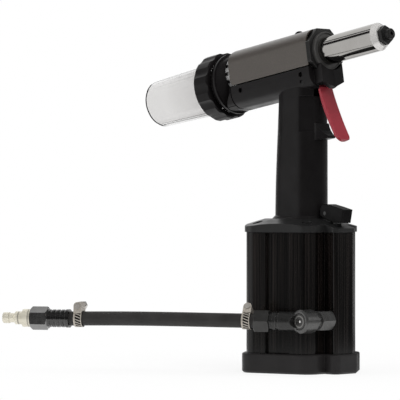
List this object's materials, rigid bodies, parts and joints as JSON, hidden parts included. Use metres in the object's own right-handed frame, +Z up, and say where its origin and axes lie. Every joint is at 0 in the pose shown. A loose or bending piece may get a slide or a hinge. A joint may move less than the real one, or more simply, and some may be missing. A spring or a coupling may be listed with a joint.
{
  "type": "pneumatic riveter",
  "caption": "Pistol-grip air-and-oil blind riveter with a lobed air cylinder base, tilted head, red trigger, clear mandrel bottle and a swivelling air hose.",
  "frame": {"origin": "middle of the boot's underside, on the air cylinder's axis", "axes": "+X towards the nose, +Y to the tool's left, +Z up along the air cylinder"},
  "size_m": [0.3121, 0.2484, 0.315],
  "materials": {
    "black_anodised": "glossy black anodised",
    "black_cast": "satin black",
    "plain_aluminium": "machined",
    "rubber_boot": "matte moulded rubber",
    "rubber_seal": "matte rubber",
    "black_steel": "black oxide",
    "ground_steel": "ground",
    "spring_steel": "drawn wire",
    "bright_steel": "polished",
    "dark_steel": "dark blued, satin",
    "bronze": "turned",
    "black_plastic": "fine matte grain",
    "clear_plastic": "clear, glossy",
    "gunmetal": "satin metallic gunmetal",
    "red_plastic": "satin red",
    "hose_rubber": "matte black hose",
    "clamp_steel": "zinc plated",
    "nickel": "nickel plated"
  },
  "bodies": {
    "body": {"cylinder_tube": "black_anodised", "plate_gasket": "rubber_seal", "top_plate": "black_cast", "plate_screws": "black_steel", "bottom_cap": "black_cast", "cap_seal": "rubber_seal", "cap_screws": "black_steel", "rubber_boot": "rubber_boot", "ram_bush": "bronze", "ram_seal": "rubber_seal", "pressure_tube": "ground_steel", "head_cylinder": "plain_aluminium", "rod_seal": "rubber_seal", "oil_plug": "black_steel", "nose_sleeve": "bright_steel", "nosepiece": "black_steel", "front_nut": "dark_steel", "ring_nut": "plain_aluminium", "rear_seal": "rubber_seal", "rear_adapter": "black_plastic", "ribbed_ring": "black_plastic", "top_cover": "gunmetal", "grip_right": "black_plastic", "grip_left": "black_plastic", "grip_screws": "black_steel", "trigger_pin": "black_steel", "trigger_valve": "bronze", "stem_spring": "spring_steel", "pilot_tube": "bronze", "lever_pin": "black_steel", "plunger_spring": "spring_steel", "inlet_stub": "dark_steel", "swivel_seals": "rubber_seal", "swivel_screw": "dark_steel"},
    "ram_unit": {"air_piston": "plain_aluminium", "air_piston_seal": "rubber_seal", "ram": "ground_steel"},
    "pull_unit": {"pull_piston": "ground_steel", "pull_seal": "rubber_seal", "mandrel_tube": "ground_steel", "jaw_housing": "ground_steel", "jaw_spring": "spring_steel"},
    "pusher": {"jaw_pusher": "ground_steel"},
    "jaw_a": {"jaw_first": "ground_steel"},
    "jaw_b": {"jaw_second": "ground_steel"},
    "jaw_c": {"jaw_third": "ground_steel"},
    "trigger_unit": {"trigger": "red_plastic"},
    "stem": {"valve_stem": "ground_steel"},
    "lever": {"valve_lever": "black_plastic"},
    "plunger": {"valve_plunger": "black_steel"},
    "catcher": {"collar_ring": "black_plastic", "catch_bottle": "clear_plastic"},
    "hose_line": {"swivel_head": "dark_steel", "hose_nut": "dark_steel", "hose_tail": "bronze", "air_hose": "hose_rubber", "clamp_bands": "clamp_steel", "clamp_screws": "clamp_steel", "hose_fitting": "dark_steel", "quick_plug": "nickel"}
  },
  "joints": [
    {"name": "ram_slide", "type": "slide", "parent": "body", "child": "ram_unit", "axis": [0, 0, 1], "range_m": [0, 0.062]},
    {"name": "pull_slide", "type": "slide", "parent": "body", "child": "pull_unit", "axis": [-0.9877, 0, -0.1564], "range_m": [0, 0.02]},
    {"name": "pusher_slide", "type": "slide", "parent": "pull_unit", "child": "pusher", "axis": [0.9877, 0, 0.1564], "range_m": [0, 0.002], "deforming": ["jaw_spring"]},
    {"name": "jaw_a_slide", "type": "slide", "parent": "pull_unit", "child": "jaw_a", "axis": [0.9809, -0.1174, 0.1554], "range_m": [0, 0.002]},
    {"name": "jaw_b_slide", "type": "slide", "parent": "pull_unit", "child": "jaw_b", "axis": [0.9968, 0.0587, 0.055], "range_m": [0, 0.002]},
    {"name": "jaw_c_slide", "type": "slide", "parent": "pull_unit", "child": "jaw_c", "axis": [0.965, 0.0587, 0.2557], "range_m": [0, 0.002]},
    {"name": "trigger_pivot", "type": "hinge", "parent": "body", "child": "trigger_unit", "pos_m": [0.022, 0, 0.264], "axis": [0, 1, 0], "range_deg": [0, 7], "stiffness_Nm_per_rad": 1, "springref_deg": -6.88},
    {"name": "stem_slide", "type": "slide", "parent": "body", "child": "stem", "axis": [-1, 0, 0], "range_m": [0, 0.0027], "deforming": ["stem_spring"]},
    {"name": "lever_pivot", "type": "hinge", "parent": "body", "child": "lever", "pos_m": [0.0388, 0, 0.145], "axis": [0, -1, 0], "range_deg": [0, 15]},
    {"name": "plunger_slide", "type": "slide", "parent": "body", "child": "plunger", "axis": [0, 0, 1], "range_m": [0, 0.0026], "deforming": ["plunger_spring"]},
    {"name": "catcher_turn", "type": "hinge", "parent": "body", "child": "catcher", "pos_m": [0.0011, 0, 0.27979], "axis": [0.9877, 0, 0.1564], "range_deg": [0, 60]},
    {"name": "hose_swivel", "type": "hinge", "parent": "body", "child": "hose_line", "pos_m": [0.05, -0.043, 0.0484], "axis": [0, 1, 0], "range_deg": [-8, 90]}
  ],
  "couplings": [
    {"joint": "pull_slide", "follows": "ram_slide", "ratio": 0.32143},
    {"joint": "pusher_slide", "follows": "ram_slide", "ratio": 0.031179},
    {"joint": "jaw_a_slide", "follows": "ram_slide", "ratio": 0.032143},
    {"joint": "jaw_b_slide", "follows": "ram_slide", "ratio": 0.032143},
    {"joint": "jaw_c_slide", "follows": "ram_slide", "ratio": 0.032143},
    {"joint": "stem_slide", "follows": "trigger_pivot", "m_per_rad": 0.021281},
    {"joint": "plunger_slide", "follows": "lever_pivot", "m_per_rad": 0.009549}
  ]
}
